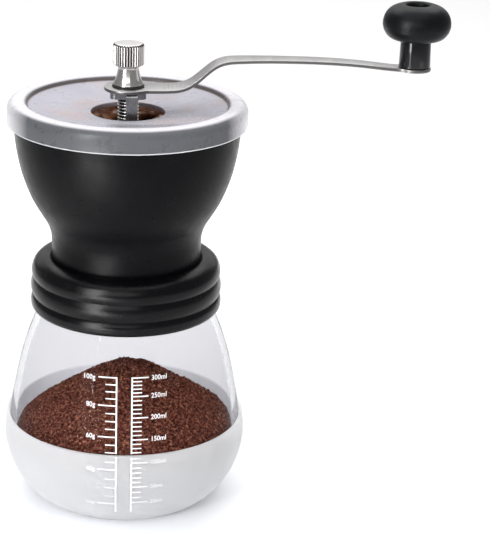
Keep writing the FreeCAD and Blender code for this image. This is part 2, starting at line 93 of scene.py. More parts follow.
def area(name, at, to, size, power, color=(1, 1, 1)):
    d = bpy.data.lights.new(name, "AREA")
    d.shape = "RECTANGLE"
    d.size, d.size_y = size
    d.energy = power
    d.color = color
    o = bpy.data.objects.new(name, d)
    scene.collection.objects.link(o)
    o.location = at
    o.visible_camera = False
    o.rotation_euler = (Vector(to) - Vector(at)).to_track_quat("-Z", "Y").to_euler()
    return o


area("top_softbox", (0.0, 0.04, 0.66), (0.0, 0.04, 0.0), (0.70, 0.70), 2.2)
area("back_softbox", (0.05, 0.85, 0.95), (0.05, 0.80, 0.0), (1.5, 0.9), 8.6)
area("back_card", (0.0, 1.75, 0.72), (0.0, 0.0, 0.22), (2.6, 0.80), 3.4)
area("front_softbox", (-0.20, -1.00, 0.54), (0.0, 0.0, 0.05), (0.90, 0.40), 2.7)
area("front_high", (-0.10, -0.70, 1.00), (0.0, -0.10, 0.0), (0.80, 0.50), 0.8)
area("key_strip", (-0.32, -0.46, 0.30), (0.0, 0.0, 0.30), (0.05, 0.60), 0.8)
area("floor_pool", (-0.14, -0.23, 0.08), (-0.135, -0.225, 0.0), (0.05, 0.05), 0.62)
area("right_fill", (0.62, -0.50, 0.22), (0.0, 0.0, 0.06), (0.30, 0.30), 1.6).visible_glossy = False
low = area("back_low", (0.0, 0.50, 0.11), (0.0, 0.0, 0.02), (0.80, 0.12), 1.0)
low.visible_glossy = False
low.visible_transmission = False
sheen = area("left_sheen", (-0.46, -0.56, 0.34), (0.0, 0.0, 0.12), (0.22, 0.60), 4.5)
sheen.visible_diffuse = False
sheen.visible_transmission = False
sheen = area("low_sheen", (-0.16, -0.25, 0.012), (0.0, 0.0, 0.11), (0.14, 0.08), 0.42)
sheen.visible_diffuse = False
sheen.visible_transmission = False


# --------------------------------------------------------------------- helpers
def cubic(pts, n=60):
    """Natural cubic spline through (r, z) points, sampled evenly by chord."""
    P = np.array(pts, float)
    t = np.concatenate([[0], np.cumsum(np.sqrt(((P[1:] - P[:-1]) ** 2).sum(1)))])
    k = len(P)
    A, B = np.eye(k), np.zeros_like(P)
    for i in range(1, k - 1):
        h0, h1 = t[i] - t[i - 1], t[i + 1] - t[i]
        A[i, i - 1], A[i, i], A[i, i + 1] = h0, 2 * (h0 + h1), h1
        B[i] = 6 * ((P[i + 1] - P[i]) / h1 - (P[i] - P[i - 1]) / h0)
    M = np.linalg.solve(A, B)
    out = []
    for u in np.linspace(0, t[-1], n):
        i = min(max(int(np.searchsorted(t, u)) - 1, 0), k - 2)
        h = t[i + 1] - t[i]
        a, b = (t[i + 1] - u) / h, (u - t[i]) / h
        out.append(tuple(a * P[i] + b * P[i + 1] + ((a ** 3 - a) * M[i] + (b ** 3 - b) * M[i + 1]) * h * h / 6))
    return out


def offset(points, d):
    out, n = [], len(points)
    for i in range(n):
        a, b = points[max(i - 1, 0)], points[min(i + 1, n - 1)]
        tx, tz = b[0] - a[0], b[1] - a[1]
        k = math.hypot(tx, tz)
        out.append((points[i][0] - tz / k * d, points[i][1] + tx / k * d))
    return out


def rounded(pts, steps=5):
    """Closed outline whose (r, z, radius) corners are rounded."""
    out, n = [], len(pts)
    for i, p in enumerate(pts):
        if len(p) < 3 or p[2] <= 0:
            out.append((p[0], p[1]))
            continue
        c = Vector((p[0], p[1]))
        a, b = Vector(pts[i - 1][:2]) - c, Vector(pts[(i + 1) % n][:2]) - c
        la, lb = a.length, b.length
        a.normalize(); b.normalize()
        ang = a.angle(b)
        d = min(p[2] / math.tan(ang / 2), la * 0.49, lb * 0.49)
        rad = d * math.tan(ang / 2)
        mid = (a + b).normalized() * (rad / math.sin(ang / 2)) + c
        s, e = c + a * d - mid, c + b * d - mid
        turn = s.angle(e)
        for k in range(steps + 1):
            f = k / steps
            v = (s * math.sin((1 - f) * turn) + e * math.sin(f * turn)) / math.sin(turn)
            out.append((mid.x + v.x, mid.y + v.y))
    return out


def finish_mesh(name, verts, faces, sharp=35):
    me = bpy.data.meshes.new(name)
    me.from_pydata(verts, [], faces)
    bm = bmesh.new()
    bm.from_mesh(me)
    bmesh.ops.remove_doubles(bm, verts=bm.verts, dist=1e-8)
    bm.to_mesh(me)
    bm.free()
    me.validate()
    me.update()
    for p in me.polygons:
        p.use_smooth = True
    if sharp:
        me.set_sharp_from_angle(angle=math.radians(sharp))
    o = bpy.data.objects.new(name, me)
    scene.collection.objects.link(o)
    return o


def lathe(name, loop, seg=192, at=(0.0, 0.0), warp=None, sharp=35):
    """Solid of revolution of a closed (r, z) outline in millimetres."""
    area2 = sum(loop[i - 1][0] * loop[i][1] - loop[i][0] * loop[i - 1][1] for i in range(len(loop)))
    if area2 < 0:
        loop = loop[::-1]
    verts, rings = [], []
    ang = [TAU * k / seg for k in range(seg)]
    for r, z in loop:
        if r < 1e-6:
            rings.append([len(verts)])
            verts.append((at[0] * MM, at[1] * MM, z * MM))
            continue
        ring = []
        for a in ang:
            rr, zz = warp(r, z, a) if warp else (r, z)
            ring.append(len(verts))
            verts.append(((at[0] + rr * math.cos(a)) * MM, (at[1] + rr * math.sin(a)) * MM, zz * MM))
        rings.append(ring)
    faces, n = [], len(loop)
    for i in range(n):
        A, B = rings[i], rings[(i + 1) % n]
        if len(A) == 1 and len(B) == 1:
            continue
        for k in range(seg):
            k2 = (k + 1) % seg
            if len(A) == 1:
                faces.append((A[0], B[k2], B[k]))
            elif len(B) == 1:
                faces.append((A[k], A[k2], B[0]))
            else:
                faces.append((A[k], A[k2], B[k2], B[k]))
    return finish_mesh(name, verts, faces, sharp)


# ------------------------------------------------------------------- materials
def material(name, **values):
    mat = bpy.data.materials.new(name)
    mat.use_nodes = True
    nt = mat.node_tree
    p = nt.nodes["Principled BSDF"]
    for k, v in values.items():
        s = p.inputs[k.replace("_", " ")]
        s.default_value = (*v, 1.0) if isinstance(v, tuple) and len(s.default_value) == 4 else v
    return mat, nt, p


def coords(nt, scale=(1, 1, 1)):
    tc = nt.nodes.new("ShaderNodeTexCoord")
    mp = nt.nodes.new("ShaderNodeMapping")
    mp.inputs["Scale"].default_value = scale
    nt.links.new(tc.outputs["Object"], mp.inputs["Vector"])
    return mp.outputs["Vector"]


def noise(nt, vec, scale, detail=3.0, rough=0.55):
    n = nt.nodes.new("ShaderNodeTexNoise")
    n.inputs["Scale"].default_value = scale
    n.inputs["Detail"].default_value = detail
    n.inputs["Roughness"].default_value = rough
    nt.links.new(vec, n.inputs["Vector"])
    return n.outputs["Fac"]


def ramp(nt, fac, *stops):
    n = nt.nodes.new("ShaderNodeValToRGB")
    e = n.color_ramp.elements
    while len(e) < len(stops):
        e.new(0.5)
    for el, (pos, col) in zip(e, stops):
        el.position = pos
        el.color = (*col, 1.0)
    nt.links.new(fac, n.inputs["Fac"])
    return n.outputs["Color"]


def span(nt, fac, lo, hi, f0=0.0, f1=1.0):
    n = nt.nodes.new("ShaderNodeMapRange")
    n.inputs["From Min"].default_value = f0
    n.inputs["From Max"].default_value = f1
    n.inputs["To Min"].default_value = lo
    n.inputs["To Max"].default_value = hi
    nt.links.new(fac, n.inputs["Value"])
    return n.outputs["Result"]


def bump(nt, p, height, strength, distance):
    n = nt.nodes.new("ShaderNodeBump")
    n.inputs["Strength"].default_value = strength
    n.inputs["Distance"].default_value = distance
    nt.links.new(height, n.inputs["Height"])
    nt.links.new(n.outputs["Normal"], p.inputs["Normal"])
    return n


def plastic(name, dark, light, rough, grain=6000.0, bump_d=0.00002, spec=0.3, rough_var=0.06, big=60.0, **kw):
    mat, nt, p = material(name, Roughness=rough, Specular_IOR_Level=spec, **kw)
    v = coords(nt)
    nt.links.new(ramp(nt, noise(nt, v, big, 4.0), (0.3, dark), (0.7, light)), p.inputs["Base Color"])
    nt.links.new(span(nt, noise(nt, v, big * 4, 5.0), rough - rough_var, rough + rough_var, 0.3, 0.7), p.inputs["Roughness"])
    bump(nt, p, noise(nt, v, grain, 2.0), 0.5, bump_d)
    return mat


black_satin = plastic("black_satin", (0.0020, 0.0021, 0.0028), (0.0030, 0.0031, 0.0040), 0.32, 2300.0, 0.00011, spec=0.085)
collar_satin = plastic("collar_satin", (0.0020, 0.0021, 0.0028), (0.0030, 0.0031, 0.0040), 0.24, 2300.0, 0.00008, spec=0.165)
knob_satin = plastic("knob_satin", (0.0042, 0.0047, 0.0060), (0.0056, 0.0062, 0.0076), 0.36, 2300.0, 0.00008, spec=0.13)
knob_gloss = plastic("knob_gloss", (0.0050, 0.0054, 0.0066), (0.0068, 0.0072, 0.0086), 0.12, 900.0, 0.000004, spec=0.42, rough_var=0.03)
nylon_black = plastic("nylon_black", (0.012, 0.012, 0.012), (0.02, 0.02, 0.02), 0.5, 2000.0, 0.00002)
nylon = plastic("nylon", (0.72, 0.70, 0.64), (0.80, 0.78, 0.73), 0.45, 2000.0, 0.00002, spec=0.4)
washer_black = plastic("washer_black", (0.012, 0.011, 0.010), (0.022, 0.02, 0.018), 0.55, 1800.0, 0.00003)
gasket = plastic("gasket_silicone", (0.62, 0.62, 0.60), (0.72, 0.72, 0.70), 0.6, 1500.0, 0.00003, spec=0.25)
silicone = plastic("white_silicone", (0.755, 0.770, 0.835), (0.785, 0.800, 0.855), 0.62, 1400.0, 0.00003, spec=0.18, big=35.0,
                   Subsurface_Weight=0.9, Subsurface_Radius=(1.0, 1.0, 1.0), Subsurface_Scale=0.014)
ceramic = plastic("ceramic", (0.74, 0.73, 0.69), (0.86, 0.85, 0.81), 0.5, 1200.0, 0.00005, spec=0.35, big=160.0)
ink = plastic("white_ink", (0.86, 0.86, 0.86), (0.93, 0.93, 0.93), 0.5, 3000.0, 0.00001, spec=0.3)


def metal(name, dark, light, rough, stretch, scale, bump_d=0.000004, rough_var=0.06):
    mat, nt, p = material(name, Metallic=1.0, Roughness=rough)
    v = coords(nt, stretch)
    n = noise(nt, v, scale, 5.0, 0.65)
    nt.links.new(ramp(nt, n, (0.3, dark), (0.7, light)), p.inputs["Base Color"])
    nt.links.new(span(nt, n, rough - rough_var, rough + rough_var, 0.3, 0.7), p.inputs["Roughness"])
    bump(nt, p, n, 0.6, bump_d)
    return mat


def radius(nt, v):
    flat = nt.nodes.new("ShaderNodeVectorMath")
    flat.operation = "MULTIPLY"
    flat.inputs[1].default_value = (1.0, 1.0, 0.0)
    nt.links.new(v, flat.inputs[0])
    rad = nt.nodes.new("ShaderNodeVectorMath")
    rad.operation = "LENGTH"
    nt.links.new(flat.outputs["Vector"], rad.inputs[0])
    return rad.outputs["Value"]


def height(nt, v):
    xyz = nt.nodes.new("ShaderNodeSeparateXYZ")
    nt.links.new(v, xyz.inputs["Vector"])
    return xyz.outputs["Z"]


def mixed(nt, fac, a, b):
    n = nt.nodes.new("ShaderNodeMix")
    n.data_type = "RGBA"
    nt.links.new(fac, n.inputs["Factor"])
    for sock, val in ((n.inputs[6], a), (n.inputs[7], b)):
        if isinstance(val, tuple):
            sock.default_value = (*val, 1.0)
        else:
            nt.links.new(val, sock)
    return n.outputs[2]


def value_ramp(nt, fac, *stops):
    return ramp(nt, fac, *[(pos, (q, q, q)) for pos, q in stops])


# brushed strip: pale faces; the upright sheared edges are painted darker, a painted shade
steel_satin, nt, p = material("steel_satin", Metallic=1.0, Roughness=0.36)
v = coords(nt, (0.04, 1.0, 1.0))
n = noise(nt, v, 2600.0, 5.0, 0.65)
painted_shade_tilt = nt.nodes.new("ShaderNodeMath")
painted_shade_tilt.operation = "ABSOLUTE"
tc = nt.nodes.new("ShaderNodeTexCoord")
nt.links.new(height(nt, tc.outputs["Normal"]), painted_shade_tilt.inputs[0])
# painted shade: faces whose normal points sideways get the dark colour
edge = value_ramp(nt, painted_shade_tilt.outputs["Value"], (0.10, 1.0), (0.45, 0.0))
nt.links.new(mixed(nt, edge, ramp(nt, n, (0.3, (0.365, 0.357, 0.355)), (0.7, (0.445, 0.437, 0.434))), (0.17, 0.165, 0.165)), p.inputs["Base Color"])
nt.links.new(span(nt, n, 0.30, 0.42, 0.3, 0.7), p.inputs["Roughness"])
bump(nt, p, n, 0.6, 0.000004)

# screw thread: painted highlight on the crests, painted shade in the roots
thread_steel, nt, p = material("thread_steel", Metallic=1.0, Roughness=0.26)
v = coords(nt)
n = noise(nt, v, 700.0, 4.0)
# base colour set by radius: painted shade deep in the roots, painted highlight on the crests
crest_highlight_root_shade = span(nt, radius(nt, v), 0.0, 1.0, 0.0033, 0.0040)
nt.links.new(ramp(nt, crest_highlight_root_shade, (0.05, (0.035, 0.034, 0.034)), (0.55, (0.16, 0.155, 0.155)), (0.90, (0.80, 0.79, 0.78))), p.inputs["Base Color"])
nt.links.new(span(nt, n, 0.20, 0.34, 0.3, 0.7), p.inputs["Roughness"])

steel = metal("steel", (0.42, 0.42, 0.42), (0.55, 0.55, 0.55), 0.24, (1, 1, 0.1), 1800.0)
plate_steel = metal("plate_steel", (0.20, 0.20, 0.205), (0.29, 0.29, 0.295), 0.26, (1, 1, 0.1), 1500.0)
steel_dark = metal("steel_dark", (0.16, 0.16, 0.165), (0.24, 0.24, 0.245), 0.34, (1, 1, 0.1), 1800.0)
# plated nut: bright plate, with a painted highlight on the knurl crests and painted shade in the grooves between the
# knurls
chrome, nt, p = material("chrome", Metallic=1.0, Roughness=0.12)
v = coords(nt)
n = noise(nt, v, 500.0, 4.0)
plate = ramp(nt, n, (0.3, (0.66, 0.64, 0.63)), (0.7, (0.74, 0.72, 0.71)))
# painted light: by radius, near-black in the knurl grooves and near-white on the crests
knurl_glint_and_groove_shade = ramp(nt, span(nt, radius(nt, v), 0.0, 1.0, 0.00538, 0.00580), (0.10, (0.03, 0.028, 0.028)), (0.55, (0.30, 0.285, 0.28)),
             (0.92, (0.92, 0.89, 0.88)))
hz = height(nt, v)
head = span(nt, hz, 0.0, 1.0, 0.1728, 0.1730)
side = value_ramp(nt, span(nt, radius(nt, v), 0.0, 1.0, 0.0050, 0.0054), (0.1, 0.0), (0.7, 1.0))
both = nt.nodes.new("ShaderNodeMath")
both.operation = "MULTIPLY"
nt.links.new(head, both.inputs[0])
nt.links.new(side, both.inputs[1])
nt.links.new(mixed(nt, both.outputs["Value"], plate, knurl_glint_and_groove_shade), p.inputs["Base Color"])
nt.links.new(span(nt, head, 0.17, 0.34), p.inputs["Roughness"])

# frosted lid: milky where it stands clear; where a black wall lies close behind, the greyer colour is painted shade,
# with painted highlights on the lit edges and sides
lid_mat, nt, p = material("frosted_lid", Roughness=0.30, IOR=1.42, Transmission_Weight=0.3, Specular_IOR_Level=0.2)
v = coords(nt)
rz = span(nt, height(nt, v), 0.0, 1.0, 0.1506, 0.1590)
rr = span(nt, radius(nt, v), 0.0, 1.0, 0.0, 0.045)
# skirt colour by height: painted shade for the black hopper wall seen through the skirt, painted highlights on the
# lower lip and the lit top face
skirt = ramp(nt, rz, (0.0, (0.90, 0.90, 0.92)), (0.035, (0.80, 0.80, 0.82)), (0.07, (0.110, 0.113, 0.124)),
             (0.70, (0.118, 0.121, 0.133)), (0.93, (0.140, 0.144, 0.157)), (0.975, (0.54, 0.53, 0.56)), (0.997, (0.82, 0.80, 0.84)))
sep = nt.nodes.new("ShaderNodeSeparateXYZ")
nt.links.new(v, sep.inputs["Vector"])
# painted light: the skirt's far left and right sides are painted paler, as if lit from behind
painted_side_light_x = nt.nodes.new("ShaderNodeMath")
painted_side_light_x.operation = "ABSOLUTE"
nt.links.new(sep.outputs["X"], painted_side_light_x.inputs[0])
skirt = mixed(nt, value_ramp(nt, span(nt, painted_side_light_x.outputs["Value"], 0.0, 1.0, 0.0, 0.045), (0.80, 0.0), (0.97, 0.85)), skirt, (0.86, 0.84, 0.885))
milk_and_painted_see_through = ramp(nt, noise(nt, v, 45.0, 4.0), (0.3, (0.46, 0.45, 0.515)), (0.7, (0.54, 0.53, 0.59)))
# painted see-through: orange-brown blotches stand for the beans seen dimly behind the panel
painted_bean_glimpse = value_ramp(nt, noise(nt, v, 75.0, 2.0), (0.52, 0.0), (0.72, 0.34))
milk_and_painted_see_through = mixed(nt, painted_bean_glimpse, milk_and_painted_see_through, (0.58, 0.40, 0.34))
# painted shade of the hopper's bridge, seen dim behind the panel
dim_x = value_ramp(nt, span(nt, sep.outputs["X"], 0.0, 1.0, -0.012, 0.024), (0.10, 0.0), (0.20, 1.0), (0.80, 0.75), (0.92, 0.0))
dim_y = value_ramp(nt, span(nt, sep.outputs["Y"], 0.0, 1.0, -0.032, -0.018), (0.20, 0.0), (0.36, 1.0), (0.62, 1.0), (0.80, 0.0))
dim = nt.nodes.new("ShaderNodeMath")
dim.operation = "MULTIPLY"
nt.links.new(dim_x, dim.inputs[0])
nt.links.new(dim_y, dim.inputs[1])
painted_bridge_shade = span(nt, dim.outputs["Value"], 0.0, 0.62)
milk_and_painted_see_through = mixed(nt, painted_bridge_shade, milk_and_painted_see_through, (0.17, 0.165, 0.185))
isrim = value_ramp(nt, rr, (0.825, 0.0), (0.836, 1.0))
body = mixed(nt, isrim, milk_and_painted_see_through, skirt)
shade = value_ramp(nt, rr, (0.306, 0.88), (0.313, 0.0), (0.818, 0.0), (0.829, 0.62), (0.837, 0.62), (0.850, 0.0))
body = mixed(nt, shade, body, (0.13, 0.095, 0.08))
nt.links.new(body, p.inputs["Base Color"])
clear = mixed(nt, isrim, (0.10, 0.10, 0.10), value_ramp(nt, rz, (0.03, 0.02), (0.08, 0.06), (0.90, 0.06), (0.98, 0.02)))
nt.links.new(clear, p.inputs["Transmission Weight"])
nt.links.new(span(nt, noise(nt, v, 220.0, 4.0), 0.24, 0.36, 0.3, 0.7), p.inputs["Roughness"])
bump(nt, p, noise(nt, v, 1500.0, 2.0), 0.4, 0.00002)


def pass_lamps(nt, p, tint):
    """Let shadow rays through, so that what stands behind is lit."""
    out = nt.nodes["Material Output"]
    mix = nt.nodes.new("ShaderNodeMixShader")
    lp = nt.nodes.new("ShaderNodeLightPath")
    tr = nt.nodes.new("ShaderNodeBsdfTransparent")
    tr.inputs["Color"].default_value = (*tint, 1.0)
    nt.links.new(lp.outputs["Is Shadow Ray"], mix.inputs["Fac"])
    nt.links.new(p.outputs["BSDF"], mix.inputs[1])
    nt.links.new(tr.outputs["BSDF"], mix.inputs[2])
    nt.links.new(mix.outputs["Shader"], out.inputs["Surface"])
    return out


pass_lamps(nt, p, (0.80, 0.80, 0.82))

# clear glass that lets lamps through
glass_mat, nt, p = material("clear_glass", Roughness=0.0, IOR=1.06, Transmission_Weight=1.0, Base_Color=(0.838, 0.834, 0.854))
v = coords(nt)
nt.links.new(span(nt, noise(nt, v, 30.0, 3.0), 0.0, 0.03, 0.35, 0.75), p.inputs["Roughness"])
bump(nt, p, noise(nt, v, 18.0, 2.0), 0.25, 0.0002)
out = pass_lamps(nt, p, (0.985, 0.985, 0.99))
ab = nt.nodes.new("ShaderNodeVolumeAbsorption")
ab.inputs["Color"].default_value = (0.70, 0.72, 0.74, 1.0)
ab.inputs["Density"].default_value = 40.0
nt.links.new(ab.outputs["Volume"], out.inputs["Volume"])

# ground coffee
grounds_mat, nt, p = material("ground_coffee", Roughness=0.9, Specular_IOR_Level=0.06)
v = coords(nt)
grit = noise(nt, v, 950.0, 5.0, 0.75)
tone = ramp(nt, grit, (0.38, (0.013, 0.0034, 0.0022)), (0.47, (0.098, 0.0300, 0.0195)), (0.56, (0.225, 0.078, 0.050)),
            (0.66, (0.55, 0.25, 0.15)))
patch_tone = ramp(nt, noise(nt, v, 45.0, 3.0), (0.3, (0.72, 0.66, 0.62)), (0.7, (1.0, 1.0, 1.0)))
mul = nt.nodes.new("ShaderNodeMix")
mul.data_type = "RGBA"
mul.blend_type = "MULTIPLY"
mul.inputs["Factor"].default_value = 1.0
nt.links.new(tone, mul.inputs[6])
nt.links.new(patch_tone, mul.inputs[7])
nt.links.new(mul.outputs[2], p.inputs["Base Color"])
bump(nt, p, noise(nt, v, 1300.0, 4.0, 0.7), 0.9, 0.0005)

# roasted beans
bean_mat, nt, p = material("roasted_bean", Roughness=0.38, Specular_IOR_Level=0.5)
v = coords(nt)
nt.links.new(ramp(nt, noise(nt, v, 260.0, 5.0, 0.6), (0.28, (0.060, 0.022, 0.011)), (0.5, (0.17, 0.066, 0.030)),
                  (0.72, (0.36, 0.16, 0.08))), p.inputs["Base Color"])
nt.links.new(span(nt, noise(nt, v, 700.0, 4.0), 0.28, 0.5, 0.3, 0.7), p.inputs["Roughness"])
bump(nt, p, noise(nt, v, 900.0, 4.0), 0.5, 0.0001)


def wear(o, mat):
    o.data.materials.clear()
    o.data.materials.append(mat)


finish = {
    "jar": glass_mat, "silicone_base": silicone, "jar_seal": gasket, "hopper_body": black_satin,
    "grip_collar": collar_satin, "shaft_bush": nylon, "outer_burr": ceramic, "burr_gasket": gasket,
    "burr_retainer": nylon_black, "hopper_lid": lid_mat, "thrust_washer": steel, "adjusting_nut": steel_dark,
    "drive_shaft": thread_steel, "lock_plate": plate_steel, "crank_arm": steel_satin, "knob_axle": steel_dark,
    "knob_washer": nylon_black, "inner_burr": ceramic, "burr_driver": nylon_black, "spring_seat": steel,
    "burr_spring": steel, "burr_washer": steel, "burr_nut": steel, "knob_head": knob_satin,
    "knob_sleeve": knob_gloss, "cap_washer": washer_black, "cap_nut": chrome,
}
for n, mat in finish.items():
    wear(nodes[n], mat)

# ------------------------------------------------------------- profiles in mm
BASE = cubic([(27.0, 0.0), (30.0, 0.45), (32.9, 1.6), (36.1, 3.8), (39.6, 7.2), (42.7, 11.9), (44.95, 17.1),
              (46.25, 22.0), (46.75, 25.9), (46.65, 29.6), (46.2, 34.3)], 60)
JAR = offset(BASE, 1.45)[:-3] + [
    (44.35, 38.2), (43.2, 44.8), (41.9, 51.2), (40.4, 57.8), (38.6, 64.0), (36.9, 69.0), (35.3, 72.9), (33.7, 76.4),
    (32.35, 79.0), (31.55, 80.6), (31.25, 81.7), (31.2, 82.6)]
JAR_IN = [(r, z) for r, z in offset(JAR, 2.5)]
base_z, base_r = [z for _, z in BASE], [r for r, _ in BASE]
jar_z, jar_r = [z for _, z in JAR], [r for r, _ in JAR]
in_z, in_r = [z for _, z in JAR_IN], [r for r, _ in JAR_IN]


def print_r(z):
    """Radius of the surface that carries the printed scale."""
    if z < 34.65:
        return float(np.interp(z, base_z, base_r))
    return float(np.interp(z, jar_z, jar_r))


# ------------------------------------------------------------------- the stage
def make_floor():
    bm = bmesh.new()
    bmesh.ops.create_grid(bm, x_segments=8, y_segments=8, size=3.0)
    me = bpy.data.meshes.new("floor")
    bm.to_mesh(me)
    bm.free()
    o = bpy.data.objects.new("floor", me)
    scene.collection.objects.link(o)
    mat, nt, p = material("floor", Roughness=0.85, Specular_IOR_Level=0.05)
    v = coords(nt)
    nt.links.new(ramp(nt, noise(nt, v, 3.0), (0.3, (0.93, 0.93, 0.93)), (0.7, (0.95, 0.95, 0.95))), p.inputs["Base Color"])
    wear(o, mat)


make_floor()

# --------------------------------------------------------------- drive shaft
def shaft():
    z = [80.6, 81.0]
    z += list(np.arange(81.2, 88.0, 0.1)) + [87.98, 88.02]
    z += [97.0, 106.25, 106.3, 106.35, 118.0, 139.4, 139.5, 139.6, 141.0]
    z += list(np.arange(141.2, 160.6, 0.104)) + [160.68, 160.7, 160.72, 162.5, 164.40, 164.42, 164.44, 164.8]
    z += list(np.arange(165.0, 175.4, 0.1)) + [175.5, 176.0]

    def vee(zz, a, pitch, depth, z0, z1):
        f = (zz / pitch - a / TAU) % 1.0
        h = min(max((abs(2 * f - 1) - 0.12) / 0.74, 0.0), 1.0)
        fade = min(max((zz - z0) / 0.8, 0.0), 1.0) * min(max((z1 - zz) / 0.8, 0.0), 1.0)
        return depth * h * fade

    def warp(r, zz, a):
        c, s = abs(math.cos(a)), abs(math.sin(a))
        sq = min(3.8, 3.1 / max(c, s))
        if zz < 88.0:
            r = 2.45 - vee(zz, a, 0.8, 0.42, 81.0, 88.0)
            if zz < 80.9:
                r -= 0.4
        elif zz < 106.3:
            r = sq
        elif zz < 160.7:
            r = 4.0 - vee(zz, a, 1.25, 0.66, 141.2, 160.9)
            if zz > 139.5 and math.sin(a) > 0:
                r = min(r, 3.3 / math.sin(a))
        elif zz < 164.42:
            r = sq
        else:
            r = 2.95 - vee(zz, a, 1.0, 0.5, 164.6, 176.2)
            if zz > 175.8:
                r -= 0.55
        return r, zz

    loop = [(0.0, 80.6)] + [(3.0, q) for q in z] + [(0.0, 176.0)]
    o = lathe("threaded_shaft", loop, 120, warp=warp, sharp=42)
    wear(o, thread_steel)
    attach(o, "drive")
    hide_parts("drive_shaft")


shaft()

# ------------------------------------------------------------------ crank arm
ARM = cubic([(-12.0, 164.4), (-4.0, 164.4), (6.0, 164.4), (15.0, 164.5), (18.5, 164.8), (21.5, 165.7), (25.0, 168.0),
             (29.0, 171.5), (32.5, 174.0), (36.0, 175.25), (40.5, 175.7), (49.0, 175.95), (60.0, 176.0), (72.0, 175.8),
             (84.0, 175.15), (92.0, 174.4), (97.0, 173.88), (101.0, 173.62), (106.5, 173.6), (114.5, 173.6)], 280)
arm_x, arm_z = np.array([q[0] for q in ARM]), np.array([q[1] for q in ARM])


HALF = cubic([(0.0, 6.4), (26.0, 5.7), (37.0, 5.0), (49.0, 4.35), (70.0, 3.95), (106.5, 3.6)], 120)
HX, HW = [q[0] for q in HALF], [q[1] for q in HALF]


def crank_arm():
    t = 1.25

    def half(x):
        return float(np.interp(x, HX, HW))

    # plan outline, counter-clockwise: eye, lower edge, rounded end, upper edge
    def fillet(cx, cr, side):
        """Points of the concave fillet between a circle at cx and the strip's edge."""
        rad = 5.0
        out = []
        best = None
        for x in np.arange(cx + 0.5, cx + 30, 0.01) if side > 0 else np.arange(cx - 0.5, cx - 30, -0.01):
            d = math.hypot(x - cx, half(x) + rad) - (cr + rad)
            if d >= 0:
                best = x
                break
        c = (best, half(best) + rad)
        a0 = math.atan2(-c[1], cx - c[0])
        a1 = -math.pi / 2
        if side < 0 and a0 < a1:
            pass
        for k in range(9):
            a = a0 + (a1 - a0) * k / 8
            out.append((c[0] + rad * math.cos(a), c[1] + rad * math.sin(a)))
        return out

    upper = []
    f0 = fillet(0.0, 9.0, +1)
    f1 = fillet(106.5, 6.2, -1)
    a_start = math.atan2(f0[0][1], f0[0][0])
    eye = [(9.0 * math.cos(a), 9.0 * math.sin(a)) for a in np.linspace(a_start, TAU - a_start, 60)]
    a_end = math.atan2(f1[0][1], f1[0][0] - 106.5)
    end = [(106.5 + 6.2 * math.cos(a), 6.2 * math.sin(a)) for a in np.linspace(-a_end, a_end, 40)]
    straight = [(x, half(x)) for x in np.linspace(f0[-1][0] + 1, f1[-1][0] - 1, 60)]
    low = [(x, -y) for x, y in f0[1:] + straight + f1[::-1][:-1]]
    top = [(x, y) for x, y in f1[1:] + straight[::-1] + f0[::-1][:-1]]
    outline = eye + low + end + top
    sq = 3.15
    hole1 = [(-sq, -sq), (sq, -sq), (sq, sq), (-sq, sq)]
    hole2 = [(106.5 + 2.7 * math.cos(a), 2.7 * math.sin(a)) for a in np.linspace(0, TAU, 33)[:-1]]
    bm = bmesh.new()
    edges = []
    for loop in (outline, hole1, hole2):
        vs = [bm.verts.new((x, y, 0.0)) for x, y in loop]
        edges += [bm.edges.new((vs[i - 1], vs[i])) for i in range(len(vs))]
    bmesh.ops.triangle_fill(bm, edges=edges, use_beauty=True, use_dissolve=False)
    for f in bm.faces:
        if f.normal.z < 0:
            f.normal_flip()
    faces = list(bm.faces)
    ext = bmesh.ops.extrude_face_region(bm, geom=faces)
    moved = [g for g in ext["geom"] if isinstance(g, bmesh.types.BMVert)]
    for vv in moved:
        vv.co.z += t
    bmesh.ops.recalc_face_normals(bm, faces=bm.faces)
    rim = [e for e in bm.edges if len(e.link_faces) == 2 and e.calc_face_angle(0) > 1.0
           and not (e.verts[0].co.z != e.verts[1].co.z)]
    bmesh.ops.bevel(bm, geom=rim, offset=0.22, segments=3, profile=0.5, affect="EDGES", clamp_overlap=True)
    for x in list(np.arange(10, 42, 0.7)) + list(np.arange(42, 100, 2.5)):
        g = list(bm.verts) + list(bm.edges) + list(bm.faces)
        bmesh.ops.bisect_plane(bm, geom=g, plane_co=(x, 0, 0), plane_no=(1, 0, 0), dist=1e-5)
    s = np.concatenate([[0], np.cumsum(np.hypot(np.diff(arm_x), np.diff(arm_z)))])
    for vv in bm.verts:
        x, y, h = vv.co
        z = float(np.interp(x, arm_x, arm_z))
        dz = (np.interp(x + 0.2, arm_x, arm_z) - np.interp(x - 0.2, arm_x, arm_z)) / 0.4
        k = math.hypot(1.0, dz)
        d = h - t
        vv.co = ((x - dz / k * d) * MM, y * MM, (z + d / k) * MM)
    me = bpy.data.meshes.new("crank_strip")
    bm.to_mesh(me)
    bm.free()
    for q in me.polygons:
        q.use_smooth = True
    me.set_sharp_from_angle(angle=math.radians(32))
    o = bpy.data.objects.new("crank_strip", me)
    scene.collection.objects.link(o)
    wear(o, steel_satin)
    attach(o, "drive")
    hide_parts("crank_arm")


crank_arm()

